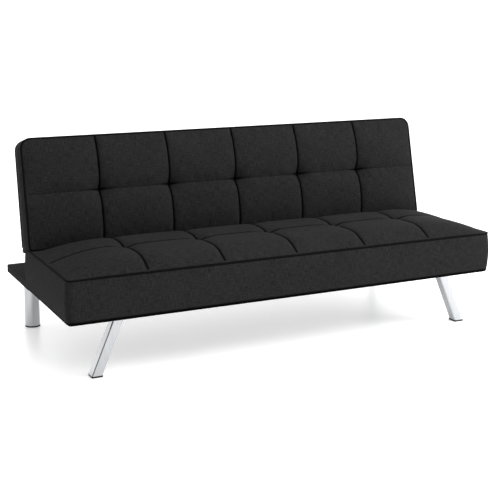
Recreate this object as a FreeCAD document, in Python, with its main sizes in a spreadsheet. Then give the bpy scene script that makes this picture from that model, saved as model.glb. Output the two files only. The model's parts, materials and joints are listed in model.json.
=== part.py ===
"""Armless three-seat click-clack sofa bed: a padded seat on a rail base, and a padded back that folds flat.

Millimetres. The row frame has +Z up, X along the width and the origin on the floor under the middle of the
whole sofa; the seat faces -Y. Lengths along Y are written from the front face of the seat. Pieces of the
back are built square, with Y through the back from its front face and Z up from its lower edge, and then
leaned by the sofa's tilt.
"""

import FreeCAD, Part
import os
import re

SIZES = {
    # whole sofa
    "width": 1680,
    "depth": 836,
    "seat_depth": 534,          # front of the seat to the seam behind it
    "under_height": 196,        # floor to the underside of the upholstery
    "seam_height": 350,         # floor to the seat's piping
    "seat_crown": 40,           # padding above the seat's piping
    "seat_edge": 32,
    "seat_corner": 20,          # corner radius of the seat in plan
    "crown": 16,                # padding in front of the back's piping
    "edge_round": 14,
    # upholstery
    "cover": 2,
    "side_pad": 16,
    "piping": 2.5,              # radius of the cord
    "piping_proud": 2,
    # backrest
    "back_front": 481,          # front of the seat to the lower front edge of the back
    "back_length": 405,
    "back_thick": 104,          # at its lower edge
    "back_taper": 2.5,          # degrees, thinner towards the top
    "back_corner": 26,
    "tilt": 12.7,               # degrees the back leans from upright
    "cushion_gap": 4,           # between the seat and the swinging back
    # base and frames
    "base_rail": 22,
    "base_inset": 16,           # the base's rails are narrower than the seat's cover, each side
    "shelf_inset": 2,           # and the shelf's padded cover
    "base_corner": 6,
    "long_rail": 90,
    "side_rail": 70,
    "board": 3,
    "lining": 1,
    "frame_rail": 22,
    "seat_pad": 56.7,           # felt of the seat up to its piping
    "rear_pad": 8.317,          # behind the back's rails, at the back's thin top edge
    "frame_gap": 10,            # between the seat's frame and the cover behind it
    "rim_pad": 12,              # below and above the back's frame
    "cross_drop": 30,           # springs of the seat down to its cross rails
    "block_wide": 60,
    "block_long": 90,
    "back_inset": 36,           # front face of the back to its rails
    "cross_rail": 60,
    "cross_place": 400,
    "upright_place": 264,
    "frame_front": 20,          # front of the seat to its rails
    # springs
    "wire": 1.9,
    "spring_half": 24,
    "spring_pitch": 150,
    "felt": 3,
    "clip": 14,
    "clip_play": 0.1,
    "clip_strap": 1.5,
    # hinges
    "plate": 5,
    "axial_play": 0.2,
    "washer": 0.8,
    "washer_radius": 8,
    "pin": 5,
    "pin_play": 0.05,
    "pawl_pin": 4,
    "pin_head": 3,              # how far a pin's head reaches past its shank
    "pawl_eye": 5,
    "hub": 21,
    "hub_room": 3,
    "tooth": 3,
    "tooth_nose": 2.5,          # radius of the pawl's tooth
    "tooth_play": 0.5,
    "pawl_arm": 34,
    "pawl_offset": 7,           # tip of the pawl's tooth to its foot
    "pawl_half": 4,
    "pawl_lift": 9,             # degrees that lift the pawl clear of the hub
    "slot_play": 1.5,
    "pocket_long": 59,          # hub's rim forward to the end of the pocket round its plate
    "pocket_deep": 45,
    "plate_long": 55,           # hub's rim forward to the plate's end, and to the rail's ear
    "ear_long": 39,
    "plate_drop": 44,           # below the top of the seat's rails
    "plate_foot": 18,
    "plate_nose": 12,
    "blade_high": 116,          # back's lower rail up to the end of the arm's blade
    "blade_wide": 32,
    "blade_start": 30,
    "blade_in": 4,              # front of the back's rails to the blade
    "screw_row": 22,            # between a plate's two rows of screws
    "screw_edge": 12,
    "screw_far": 41,            # hub's rim forward to a plate's screws
    "screw_near": 9,
    "arm_screw_low": 42,
    "arm_screw_gap": 30,
    "arm_screw_in": 20,
    # legs
    "leg_wide": 38,
    "leg_deep": 40,
    "leg_wall": 2,
    "leg_round": 5,
    "leg_foot": 100,            # side of the seat in to the middle of a front foot, and to its leg's top
    "leg_top": 183,
    "leg_front": 56,
    "rear_leg": 29,
    "rear_leg_side": 61,        # side and rear of the sofa in to the middle of a rear leg
    "rear_leg_back": 120,
    "leg_plate": 3,
    "plate_side": 76,
    "plate_edge": 12,           # edge of a leg's plate in to its screws
    "glide": 6,
    # screws
    "screw": 2.5,
    "screw_head": 5,
    "head": 2,
    "bite": 14,                 # of a leg's screw in the base
    "screw_bite": 12,           # of a hinge's screw in its rail
    "frame_screw": 40,
}

# Sizes that follow from the ones above.
DERIVED = {
    "half": "width / 2 - piping_proud",
    "face": "piping_proud - depth / 2",
    "rear": "depth - piping_proud",
    "shift": "seat_depth + cushion_gap - back_front",
    "pivot_y": "seat_depth + cushion_gap - shift / 2",
    "pivot_z": "seam_height - shift / 2 * tan(45 deg + tilt / 2 * 1 deg)",
    "setback": "shift / 2 * tan(45 deg + tilt / 2 * 1 deg)",
    "base_low": "under_height + lining",
    "base_top": "base_low + base_rail",
    "seat_frame": "frame_top - base_top",
    "shelf_top": "base_top + board + cover",
    "frame_half": "half - cover - side_pad",
    "inner_half": "frame_half - frame_rail",
    "foam_low": "seam_height - seat_pad",
    "frame_top": "foam_low - felt - clip_tall",
    "frame_back": "seat_depth - cover - frame_gap",
    "arm_out": "inner_half - plate - washer - axial_play",
    "arm_in": "arm_out - plate",
    "slot_in": "arm_in - axial_play - washer - plate",
    "back_frame_end": "back_thick - back_length * tan(back_taper * 1 deg) - cover - rear_pad",
    "back_rim": "cover + rim_pad",
    "back_top": "back_length - back_rim",
    "back_out": "arm_out + frame_rail",
    "spring_y": "back_inset - wire",
    "clip_tall": "2 * wire + clip_strap",
}

DOC = FreeCAD.newDocument("SofaBed")
SIDES = {"left": -1, "right": 1}
PARTS = []


def formula(text):
    """Spell out the derived sizes and point each driving size at its cell."""
    def spell(match):
        word = match.group()
        if word in DERIVED:
            return "(" + formula(DERIVED[word]) + ")"
        return "Sizes." + word if word in SIZES else word
    return re.sub(r"[a-z_]+", spell, str(text))


def value(text):
    """The present value of a formula."""
    result = DOC.Sizes.evalExpression(formula(text))
    return float(getattr(result, "Value", result))


def bind(thing, name, text):
    thing.setExpression(name, formula(text))


def write_sheet():
    sheet = DOC.addObject("Spreadsheet::Sheet", "Sizes")
    for row, (alias, size) in enumerate(SIZES.items(), 1):
        sheet.set(f"A{row}", alias)
        sheet.set(f"B{row}", str(size))
        sheet.setAlias(f"B{row}", alias)
    DOC.recompute()


def place(thing, x="0", y="0", z="0", axis=(1, 0, 0), turn="0"):
    thing.Placement = FreeCAD.Placement(FreeCAD.Vector(), FreeCAD.Rotation(FreeCAD.Vector(*axis), 1))
    bind(thing, "Placement.Base.x", x)
    bind(thing, "Placement.Base.y", y)
    bind(thing, "Placement.Base.z", z)
    bind(thing, "Placement.Rotation.Angle", turn)
    return thing


def box(name, x, y, z):
    """A block between the given low and high sides along X, Y and Z."""
    block = DOC.addObject("Part::Box", name)
    for side, (low, high) in zip(("Length", "Width", "Height"), (x, y, z)):
        bind(block, side, f"({high}) - ({low})")
    return place(block, x[0], y[0], z[0])


def rod(name, radius, length, x, y, z, axis="z"):
    """A cylinder that starts at the given point and runs along +X, +Y or +Z."""
    cylinder = DOC.addObject("Part::Cylinder", name)
    bind(cylinder, "Radius", radius)
    bind(cylinder, "Height", length)
    turns = {"x": ((0, 1, 0), "90"), "y": ((1, 0, 0), "-90"), "z": ((0, 0, 1), "0")}
    return place(cylinder, x, y, z, *turns[axis])


def fuse(name, pieces):
    joined = DOC.addObject("Part::MultiFuse", name)
    joined.Shapes = pieces
    return joined


def group(name, pieces):
    together = DOC.addObject("Part::Compound", name)
    together.Links = pieces
    return together


def cut(name, blank, tools):
    result = DOC.addObject("Part::Cut", name)
    result.Base = blank
    result.Tool = tools[0] if len(tools) == 1 else fuse(name + "_tools", tools)
    return result


def rounded(name, blank, radius, wanted):
    """Round the straight or curved edges of a blank that the test picks by their bounding boxes."""
    DOC.recompute()
    size = value(radius)
    picked = [(i, size, size) for i, e in enumerate(blank.Shape.Edges, 1) if wanted(e.BoundBox)]
    if not picked:
        raise RuntimeError(f"{name}: no edge to round")
    fillet = DOC.addObject("Part::Fillet", name)
    fillet.Base = blank
    fillet.Edges = picked
    return fillet


def keep(node, thing, on_back=False):
    """Wrap a finished piece under its own name and put it in the row frame, leaned if it is on the back."""
    piece = group(node + "_part", [thing])
    piece.Label = node
    if on_back:
        place(piece, "0", "face + back_front", "seam_height", (1, 0, 0), "-tilt")
    else:
        place(piece, "0", "face", "0")
    PARTS.append(piece)


def near(first, second, tolerance=0.01):
    return abs(first - second) < tolerance


def mirrored_range(sign, low, high):
    """The span low..high on one side of the sofa, given as positive distances from its middle."""
    return (low, high) if sign > 0 else (f"-({high})", f"-({low})")


# ---------------------------------------------------------------- upholstered blocks

def seat_block(name, inset, low):
    """The seat's outer shape, drawn in by a cover's thickness; its rear edge clears the swinging back."""
    half = f"half - ({inset})"
    top = f"seam_height + seat_crown - ({inset})"
    block = box(name + "_blank", (f"-({half})", half), (inset, f"seat_depth - ({inset})"), (low, top))
    under_back = box(name + "_room", ("-width", "width"), ("-150", "200"), ("0", "150"))
    drop = f"(cushion_gap + ({inset}))"
    place(under_back, "-width", f"back_front - 150 * cos(tilt * 1 deg) - {drop} * sin(tilt * 1 deg)",
          f"seam_height + 150 * sin(tilt * 1 deg) - {drop} * cos(tilt * 1 deg)", (1, 0, 0), "-tilt")
    shaped = cut(name + "_shaped", block, [under_back])
    rear = value(f"seat_depth - ({inset})")
    side = value(half)
    front = value(inset)
    upper = value(top)
    rear_round = f"shift / 2 - cushion_gap - ({inset})"
    folded = rounded(name + "_rear_round", shaped, rear_round,
                     lambda b: near(b.YMin, rear) and near(b.YMax, rear) and b.XLength > side and b.ZMin > upper / 2)
    corners = rounded(name + "_corners", folded, f"seat_corner - ({inset})",
                      lambda b: near(b.YMax, front) and b.XLength < 1 and b.ZLength > 9)
    return rounded(name, corners, f"seat_edge - ({inset})",
                   lambda b: near(b.ZMin, upper) and near(b.ZMax, upper) and b.YMin < value("seat_corner") + 1)


def back_block(name, inset):
    """The back's outer shape, drawn in by a cover's thickness and tapered at its rear face."""
    half = f"half - ({inset})"
    block = box(name + "_blank", (f"-({half})", half), (f"({inset}) - crown", f"back_thick - ({inset})"),
                (inset, f"back_length - ({inset})"))
    behind = box(name + "_behind", ("-width", "width"), ("0", "100"), ("-100", "back_length + 100"))
    turn = "back_taper"
    place(behind, "-width", f"back_thick - ({inset}) + 100 * tan(back_taper * 1 deg)", "-100", (1, 0, 0), turn)
    shaped = cut(name + "_shaped", block, [behind])
    front = value(f"({inset}) - crown")
    corners = rounded(name + "_corners", shaped, f"back_corner - ({inset})",
                      lambda b: b.XLength < 1 and b.ZLength < 20 and b.YLength > 40)
    return rounded(name, corners, f"edge_round - ({inset})",
                   lambda b: near(b.YMin, front) and near(b.YMax, front))


def round_cord(name, corners, radius, closed):
    """A round cord along straight runs joined by corner arcs; corners are (point, arc radius) pairs."""
    points = [FreeCAD.Vector(*point) for point, _ in corners]
    count = len(points)
    edges = []
    start = None
    first = None
    for i in range(count):
        here, arc = points[i], corners[i][1]
        if not closed and i in (0, count - 1):
            arrive = leave = here
        else:
            before = (points[i - 1] - here).normalize()
            after = (points[(i + 1) % count] - here).normalize()
            arrive = here + before * arc
            leave = here + after * arc
        if start is not None:
            edges.append(Part.LineSegment(start, arrive).toShape())
        first = first or arrive
        if arrive != leave:
            middle = here + (before + after) * arc * (1 - 2 ** -0.5)
            edges.append(Part.Arc(arrive, middle, leave).toShape())
        start = leave
    if closed:
        edges.append(Part.LineSegment(start, first).toShape())
    path = Part.Wire(edges)
    heading = edges[0].tangentAt(edges[0].FirstParameter)
    ring = Part.Wire([Part.Circle(edges[0].valueAt(edges[0].FirstParameter), heading, radius).toShape()])
    cord = DOC.addObject("Part::Feature", name)
    cord.Shape = path.makePipeShell([ring], True, False)
    return cord


def upholstery():
    piping_y = value("piping - piping_proud")
    side = value("width / 2 - piping")
    corner = value("seat_corner")
    end = value("back_front + 10")
    seam = value("seam_height")
    cord_radius = value("piping")
    path = [((-side, end, seam), 0), ((-side, piping_y, seam), corner), ((side, piping_y, seam), corner),
            ((side, end, seam), 0)]
    seat_cord = round_cord("seat_cord", path, cord_radius, False)
    slots = [slot for side_name, sign in SIDES.items() for slot in mechanism_slots(sign, side_name)]
    cavity = box("seat_cavity", ("-frame_half", "frame_half"), ("frame_front", "frame_back"), ("base_top", "foam_low"))
    foam = cut("seat_foam_cut", seat_block("seat_pad", "cover", "base_top"), [cavity, seat_cord] + slots)
    keep("seat_foam", foam)
    hollow = seat_block("seat_hollow", "cover", "under_height - 10")
    way_through = box("shelf_way", ("-(half - cover)", "half - cover"), ("seat_depth - 50", "seat_depth + 10"),
                      ("under_height - 10", "shelf_top"))
    skin = cut("seat_cover_cut", seat_block("seat_skin", "0", "under_height"),
               [hollow, way_through, seat_cord] + slots)
    keep("seat_cover", skin)
    keep("seat_piping", seat_cord)

    lift = value("piping - piping_proud")
    top = value("back_length") - lift
    turn = value("back_corner")
    loop = [((-side, 0, lift), turn), ((-side, 0, top), turn), ((side, 0, top), turn), ((side, 0, lift), turn)]
    back_cord = round_cord("back_cord", loop, cord_radius, True)
    pocket = box("back_cavity", ("-back_out", "back_out"), ("back_inset - clip_tall - felt", "back_frame_end"),
                 ("back_rim", "back_top"))
    arms = [arm_room(sign, side_name) for side_name, sign in SIDES.items()]
    pad = cut("back_foam_cut", back_block("back_pad", "cover"), [pocket, back_cord] + arms)
    keep("back_foam", pad, on_back=True)
    shell = cut("back_cover_cut", back_block("back_skin", "0"),
                [back_block("back_hollow", "cover"), back_cord] + arms)
    keep("back_cover", shell, on_back=True)
    keep("back_piping", back_cord, on_back=True)


def mechanism_slots(sign, side):
    """Room in the seat's padding for one hinge: a pocket for its plate and pawl, and a slit for its arm."""
    end = "seat_depth + 10"
    pocket = box(f"pocket_{side}", mirrored_range(sign, "slot_in - slot_play", "inner_half + 0.1"),
                 ("pivot_y - hub - pocket_long", end), ("frame_top - pocket_deep", "pivot_z + hub + slot_play"))
    slit = box(f"slit_{side}", mirrored_range(sign, "arm_in - slot_play", "arm_out + slot_play"),
               ("pivot_y - hub - slot_play", end), ("pivot_z", "seam_height + 5"))
    return [pocket, slit]


def arm_room(sign, side):
    """Room in the back's padding for one hinge arm."""
    span = mirrored_range(sign, "arm_in - slot_play", "arm_out + slot_play")
    return box(f"arm_room_{side}", span, ("setback - hub - hub_room", "back_frame_end"), ("-10", "back_rim + 10"))


# ---------------------------------------------------------------- base, shelf and legs

def leg_spots():
    """Name, sign and plate centre of each leg."""
    for side, sign in SIDES.items():
        yield f"front_leg_{side}", sign, "half - leg_top", "leg_front"
        yield f"rear_leg_{side}", sign, "half - rear_leg_side", "rear - rear_leg_back"


def plate_holes(name, radius, low, length, reach="plate_side / 2 - plate_edge"):
    """Four upright cylinders, one in each corner of every leg plate."""
    rods = []
    for leg, sign, x, y in leg_spots():
        for i, (dx, dy) in enumerate(((-1, -1), (1, -1), (-1, 1), (1, 1))):
            rods.append(rod(f"{name}_{leg}_{i}", radius, length, f"{sign} * ({x}) + {dx} * ({reach})",
                            f"{y} + {dy} * ({reach})", low))
    return rods


def base_frame():
    holes = group("leg_screw_holes", plate_holes("hole", "screw", "under_height - leg_plate", "bite + 3"))
    height = ("base_low", "base_top")
    edge = "half - base_inset - cover"
    front_edge = "cover + base_inset"
    front = box("front_blank", (f"-({edge})", edge), (front_edge, "cover + long_rail"), height)
    nose = rounded("front_round", front, "base_corner",
                   lambda b: near(b.YMax, value(front_edge)) and b.XLength < 1 and b.ZLength > 9)
    keep("base_front_rail", cut("front_rail_cut", nose, [holes]))
    rear_rail = box("rear_blank", (f"-({edge})", edge), ("rear - cover - long_rail", "rear - cover"), height)
    keep("base_rear_rail", cut("rear_rail_cut", rear_rail, [holes]))
    between = ("cover + long_rail", "rear - cover - long_rail")
    for side, sign in SIDES.items():
        span = mirrored_range(sign, f"{edge} - side_rail", edge)
        rail = box(f"side_blank_{side}", span, between, height)
        keep(f"base_side_rail_{side}", cut(f"side_rail_cut_{side}", rail, [holes]))
        block = box(f"corner_blank_{side}", mirrored_range(sign, f"{edge} - side_rail - block_wide", f"{edge} - side_rail"),
                    ("rear - cover - long_rail - block_long", "rear - cover - long_rail"), height)
        keep(f"corner_block_{side}", cut(f"corner_cut_{side}", block, [holes]))
    for name, sign in {"left": -1, "middle": 0, "right": 1}.items():
        middle = f"{sign} * cross_place"
        keep(f"base_cross_rail_{name}", box(f"cross_{name}", (f"{middle} - cross_rail / 2", f"{middle} + cross_rail / 2"),
                                            between, height))
    keep("shelf_board", box("board_blank", (f"-({edge})", edge), ("seat_depth", "rear - cover"),
                            ("base_top", "base_top + board")))
    wrap = box("shelf_wrap", ("-(half - shelf_inset)", "half - shelf_inset"), ("seat_depth", "rear"),
               ("under_height", "shelf_top"))
    wrap = rounded("shelf_wrap_round", wrap, "edge_round / 2",
                   lambda b: near(b.YMin, value("rear")) and near(b.ZMin, value("shelf_top")))
    inside = box("shelf_inside", (f"-({edge})", edge), ("seat_depth - 10", "rear - cover"),
                 ("under_height - 10", "shelf_top - cover"))
    keep("shelf_cover", cut("shelf_cover_cut", wrap, [inside]))
    sheet = box("lining_sheet", (f"-({edge})", edge), (front_edge, "rear - cover"), ("under_height", "base_low"))
    sheet = rounded("lining_round", sheet, "base_corner",
                    lambda b: near(b.YMax, value(front_edge)) and b.XLength < 1 and b.ZLength > 0.5)
    keep("dust_cover", cut("lining_cut", sheet, [holes]))
    shanks = plate_holes("shank", "screw", "under_height - leg_plate", "bite + 3")
    heads = plate_holes("head", "screw_head", "under_height - leg_plate - head", "head")
    keep("leg_screws", group("leg_screws_group", [fuse(f"leg_screw_{i}", pair)
                                                   for i, pair in enumerate(zip(shanks, heads))]))


def slanted_tube(name, width, depth, radius, sign):
    """A prism with rounded corners from the foot of a front leg up to its plate, leaning outwards to the floor."""
    outline = Part.makePlane(value(width), value(depth))
    outline.translate(FreeCAD.Vector(sign * value("half - leg_foot") - value(width) / 2,
                                     value("leg_front") - value(depth) / 2, value("glide")))
    rise = value("under_height - leg_plate - glide")
    lean = value("leg_foot - leg_top") * rise / value("under_height")
    prism = outline.extrude(FreeCAD.Vector(sign * lean, 0, rise))
    corners = [edge for edge in prism.Edges if edge.BoundBox.ZLength > rise / 2]
    tube = DOC.addObject("Part::Feature", name)
    tube.Shape = prism.makeFillet(value(radius), corners)
    return tube


def legs():
    holes = group("plate_screw_holes", plate_holes("plate_hole", "screw", "under_height - leg_plate - 1", "leg_plate + 2"))
    plate_height = ("under_height - leg_plate", "under_height")
    for leg, sign, x, y in leg_spots():
        middle = f"{sign} * ({x})"
        plate = box(f"{leg}_plate", (f"{middle} - plate_side / 2", f"{middle} + plate_side / 2"),
                    (f"{y} - plate_side / 2", f"{y} + plate_side / 2"), plate_height)
        if leg.startswith("front"):
            outer = slanted_tube(f"{leg}_outer", "leg_wide", "leg_deep", "leg_round", sign)
            inner = slanted_tube(f"{leg}_inner", "leg_wide - 2 * leg_wall", "leg_deep - 2 * leg_wall",
                                 "leg_round - leg_wall", sign)
            foot = f"{sign} * (half - leg_foot)"
            glide = box(f"{leg}_glide", (f"{foot} - leg_wide / 2", f"{foot} + leg_wide / 2"),
                        ("leg_front - leg_deep / 2", "leg_front + leg_deep / 2"), ("0", "glide"))
        else:
            height = "under_height - leg_plate - glide"
            outer = rod(f"{leg}_outer", "rear_leg", height, middle, y, "glide")
            inner = rod(f"{leg}_inner", "rear_leg - leg_wall", height, middle, y, "glide")
            glide = rod(f"{leg}_glide", "rear_leg", "glide", middle, y, "0")
        tube = cut(f"{leg}_tube", outer, [inner])
        keep(leg, cut(f"{leg}_cut", fuse(f"{leg}_weld", [tube, plate]), [holes]))
        keep(leg.replace("leg", "glide"), glide)


# ---------------------------------------------------------------- seat frame and springs

def frame_screws(name, places, on_back=False):
    """Screws along X, driven inwards from both sides at the given (Y, Z) places."""
    tools = []
    outside = "back_out" if on_back else "frame_half"
    for side, sign in SIDES.items():
        for i, (y, z) in enumerate(places):
            start = f"{outside} - frame_screw" if sign > 0 else f"-({outside})"
            head = f"{outside} - head" if sign > 0 else f"-({outside})"
            shank = rod(f"{name}_shank_{side}_{i}", "screw", "frame_screw", start, y, z, "x")
            cap = rod(f"{name}_head_{side}_{i}", "screw_head", "head", head, y, z, "x")
            tools.append(fuse(f"{name}_{side}_{i}", [shank, cap]))
    return group(name, tools)


def seat_frame():
    height = ("base_top", "frame_top")
    middle_height = "base_top + seat_frame / 2"
    screws = frame_screws("seat_frame_screws_group",
                          [(y, f"{middle_height} + {dz}") for y in ("frame_back - frame_rail / 2", "frame_front + frame_rail / 2")
                           for dz in (-18, 18)])
    plate_screws = hinge_screws()
    front = box("seat_front_blank", ("-inner_half", "inner_half"), ("frame_front", "frame_front + frame_rail"), height)
    rear = box("seat_rear_blank", ("-inner_half", "inner_half"), ("frame_back - frame_rail", "frame_back"), height)
    for name, rail in {"front": front, "rear": rear}.items():
        tools = [screws] if name == "front" else [screws] + [
            box(f"hinge_room_{side}", mirrored_range(sign, "slot_in - slot_play", "inner_half"),
                ("pivot_y - hub - pocket_long", "frame_back"), ("frame_top - pocket_deep", "frame_top"))
            for side, sign in SIDES.items()]
        keep(f"seat_{name}_rail", cut(f"seat_{name}_cut", rail, tools))
    for side, sign in SIDES.items():
        rail = box(f"seat_side_blank_{side}", mirrored_range(sign, "inner_half", "frame_half"), ("frame_front", "frame_back"),
                   height)
        ear = box(f"seat_ear_{side}", mirrored_range(sign, "inner_half", "frame_half"),
                  ("pivot_y - hub - ear_long", "frame_back"), ("frame_top", "foam_low"))
        whole = fuse(f"seat_side_whole_{side}", [rail, ear])
        keep(f"seat_side_rail_{side}", cut(f"seat_side_cut_{side}", whole, [screws, plate_screws]))
    for name, sign in SIDES.items():
        middle = f"{sign} * cross_place * 0.6"
        keep(f"seat_cross_rail_{name}",
             box(f"seat_cross_{name}", (f"{middle} - frame_rail / 2", f"{middle} + frame_rail / 2"),
                 ("frame_front + frame_rail", "frame_back - frame_rail"), ("base_top", "frame_top - cross_drop")))
    keep("seat_frame_screws", screws)
    keep("hinge_plate_screws", plate_screws)


def zigzag(name, place_x, start, end, along_back):
    """A sinuous wire spring: straight rungs joined by half turns, from one rail to the other."""
    radius = value("wire")
    reach = value("spring_half")
    length = end - start
    rungs = int(length // 24) // 2 * 2 + 1
    step = length / rungs
    turn = step / 2
    edges = []
    for i in range(rungs + 1):
        run = start + i * step
        side = 1 if i % 2 == 0 else -1
        low = FreeCAD.Vector(place_x - side * (reach - turn), run, 0)
        high = FreeCAD.Vector(place_x + side * (reach - turn), run, 0)
        edges.append(Part.LineSegment(low, high).toShape())
        if i < rungs:
            top = FreeCAD.Vector(place_x + side * reach, run + turn, 0)
            edges.append(Part.Arc(high, top, high + FreeCAD.Vector(0, step, 0)).toShape())
    path = Part.Wire(edges)
    ring = Part.Wire([Part.Circle(edges[0].Vertexes[0].Point, FreeCAD.Vector(1, 0, 0), radius).toShape()])
    wire = path.makePipeShell([ring], True, False)
    if along_back:
        wire.rotate(FreeCAD.Vector(), FreeCAD.Vector(1, 0, 0), 90)
        wire.translate(FreeCAD.Vector(0, value("spring_y"), 0))
    else:
        wire.translate(FreeCAD.Vector(0, 0, value("frame_top + wire")))
    spring = DOC.addObject("Part::Feature", name)
    spring.Shape = wire
    return spring


def springs():
    count = int(value("(inner_half - 60) / spring_pitch"))
    places = [i * value("spring_pitch") for i in range(-count, count + 1)]
    seat_start, seat_end = value("frame_front + frame_rail / 2"), value("frame_back - frame_rail / 2")
    back_start, back_end = value("back_rim + frame_rail / 2"), value("back_top - frame_rail / 2")
    keep("seat_springs", group("seat_springs_group", [
        zigzag(f"seat_spring_{i}", x, seat_start, seat_end, False) for i, x in enumerate(places)]))
    keep("back_springs", group("back_springs_group", [
        zigzag(f"back_spring_{i}", x, back_start, back_end, True) for i, x in enumerate(places)]), on_back=True)
    wide = "spring_half / 2"
    room = "wire + clip_play"
    seat_clips, back_clips = [], []
    for i in range(-count, count + 1):
        x = (f"{i} * spring_pitch - {wide}", f"{i} * spring_pitch + {wide}")
        for end, at in {"front": "frame_front + frame_rail / 2", "rear": "frame_back - frame_rail / 2"}.items():
            strap = box(f"seat_strap_{end}_{i}", x, (f"{at} - clip / 2", f"{at} + clip / 2"),
                        ("frame_top", "frame_top + clip_tall"))
            channel = box(f"seat_channel_{end}_{i}", x, (f"{at} - ({room})", f"{at} + {room}"),
                          ("frame_top", "frame_top + 2 * wire + clip_play"))
            seat_clips.append(cut(f"seat_clip_{end}_{i}", strap, [channel]))
        for end, at in {"low": "back_rim + frame_rail / 2", "high": "back_top - frame_rail / 2"}.items():
            strap = box(f"back_strap_{end}_{i}", x, ("back_inset - clip_tall", "back_inset"),
                        (f"{at} - clip / 2", f"{at} + clip / 2"))
            channel = box(f"back_channel_{end}_{i}", x, ("back_inset - 2 * wire - clip_play", "back_inset"),
                          (f"{at} - ({room})", f"{at} + {room}"))
            back_clips.append(cut(f"back_clip_{end}_{i}", strap, [channel]))
    keep("seat_spring_clips", group("seat_clips_group", seat_clips))
    keep("back_spring_clips", group("back_clips_group", back_clips), on_back=True)
    keep("seat_felt", box("seat_felt_sheet", ("-slot_in + slot_play", "slot_in - slot_play"),
                          ("22", "frame_back - 2"), ("foam_low - felt", "foam_low")))
    keep("back_felt", box("back_felt_sheet", ("-(arm_in - 4)", "arm_in - 4"),
                          ("back_inset - clip_tall - felt", "back_inset - clip_tall"),
                          ("back_rim + 2", "back_top - 2")), on_back=True)


# ---------------------------------------------------------------- back frame

def back_frame_screws():
    ends = ("back_rim + frame_rail / 2", "back_top - frame_rail / 2")
    places = [(f"back_inset + {deep}", end) for end in ends for deep in (11, 29)]
    return frame_screws("back_frame_screws_group", places, on_back=True)


def back_frame():
    depth = ("back_inset", "back_frame_end")
    screws = back_frame_screws()
    arm_screws = arm_screw_group()
    hinge_arms([arm_screws, screws])
    arms = [DOC.getObject(f"arm_whole_{side}") for side in SIDES]
    inside = ("-arm_out", "arm_out")
    low = box("back_bottom_blank", inside, depth, ("back_rim", "back_rim + frame_rail"))
    high = box("back_top_blank", inside, depth, ("back_top - frame_rail", "back_top"))
    keep("back_bottom_rail", cut("back_bottom_cut", low, [screws] + arms), on_back=True)
    keep("back_top_rail", cut("back_top_cut", high, [screws]), on_back=True)
    for side, sign in SIDES.items():
        rail = box(f"back_side_blank_{side}", mirrored_range(sign, "arm_out", "back_out"), depth,
                   ("back_rim", "back_top"))
        keep(f"back_side_rail_{side}", cut(f"back_side_cut_{side}", rail, [screws, arm_screws]), on_back=True)
        middle = f"{sign} * upright_place"
        keep(f"back_upright_{side}",
             box(f"back_upright_blank_{side}", (f"{middle} - frame_rail / 2", f"{middle} + frame_rail / 2"),
                 ("back_inset + 8", "back_frame_end"), ("back_rim + frame_rail", "back_top - frame_rail")),
             on_back=True)
    keep("back_frame_screws", screws, on_back=True)
    keep("hinge_arm_screws", arm_screws, on_back=True)


# ---------------------------------------------------------------- click-clack hinges

def flat_plate(name, corners, x_low, thick):
    """A plate in the Y-Z plane through the given corners, from one X to the next."""
    outline = Part.makePolygon([FreeCAD.Vector(x_low, *corner) for corner in corners + corners[:1]])
    plate = DOC.addObject("Part::Feature", name)
    plate.Shape = Part.Face(outline).extrude(FreeCAD.Vector(thick, 0, 0))
    return plate


def x_low(sign, low, high):
    return value(low) if sign > 0 else -value(high)


PLATE_SCREWS = [(f"pivot_y - hub - {along}", f"frame_top - screw_edge - {row} * screw_row")
                for along, row in (("screw_far", 0), ("screw_far", 1), ("screw_near", 1), ("screw_near", 0))]
ARM_SCREWS = [("back_inset + arm_screw_in", f"back_rim + arm_screw_low + {i} * arm_screw_gap") for i in range(3)]


def side_screws(name, places, face, length, sign, side):
    """Screws driven outwards along X from a plate's inner face."""
    screws = []
    for i, (y, z) in enumerate(places):
        start = face if sign > 0 else f"-({face}) - {length}"
        shank = rod(f"{name}_shank_{side}_{i}", "screw", length, start, y, z, "x")
        cap = rod(f"{name}_cap_{side}_{i}", "screw_head", "head", f"{face} - head" if sign > 0 else f"-({face})",
                  y, z, "x")
        screws.append(fuse(f"{name}_{side}_{i}", [shank, cap]))
    return screws


def hinge_screws():
    pieces = []
    for side, sign in SIDES.items():
        pieces += side_screws("plate_screw", PLATE_SCREWS, "inner_half - plate", "plate + screw_bite", sign, side)
    return group("hinge_plate_screws_group", pieces)


def arm_screw_group():
    pieces = []
    for side, sign in SIDES.items():
        pieces += side_screws("arm_screw", ARM_SCREWS, "arm_out - plate", "plate + screw_bite", sign, side)
    return group("hinge_arm_screws_group", pieces)


def notch_angles():
    """Directions from the pivot to the hub's notches, in degrees in the Y-Z plane, with the back upright."""
    travel = 90 - value("tilt")
    return [PAWL_SIDE + travel * i / NOTCH_STEPS for i in range(NOTCH_STEPS + 1)]


NOTCH_STEPS = 5
PAWL_SIDE = 200.0        # direction from the pivot to the pawl's nose, in degrees from +Y towards +Z


def pawl_points():
    """The lifted pawl's pin, its tooth's tip and the foot of that tooth, all measured from the pivot."""
    turn = FreeCAD.Rotation(FreeCAD.Vector(1, 0, 0), PAWL_SIDE)
    outward = turn.multVec(FreeCAD.Vector(0, 1, 0))
    along = turn.multVec(FreeCAD.Vector(0, 0, -1))
    tip = outward * value("hub - tooth + tooth_nose")
    foot = tip + outward * value("pawl_offset")
    pin = foot - along * value("pawl_arm")
    lift = FreeCAD.Rotation(FreeCAD.Vector(1, 0, 0), value("pawl_lift"))
    return pin, pin + lift.multVec(tip - pin), pin + lift.multVec(foot - pin)


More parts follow.
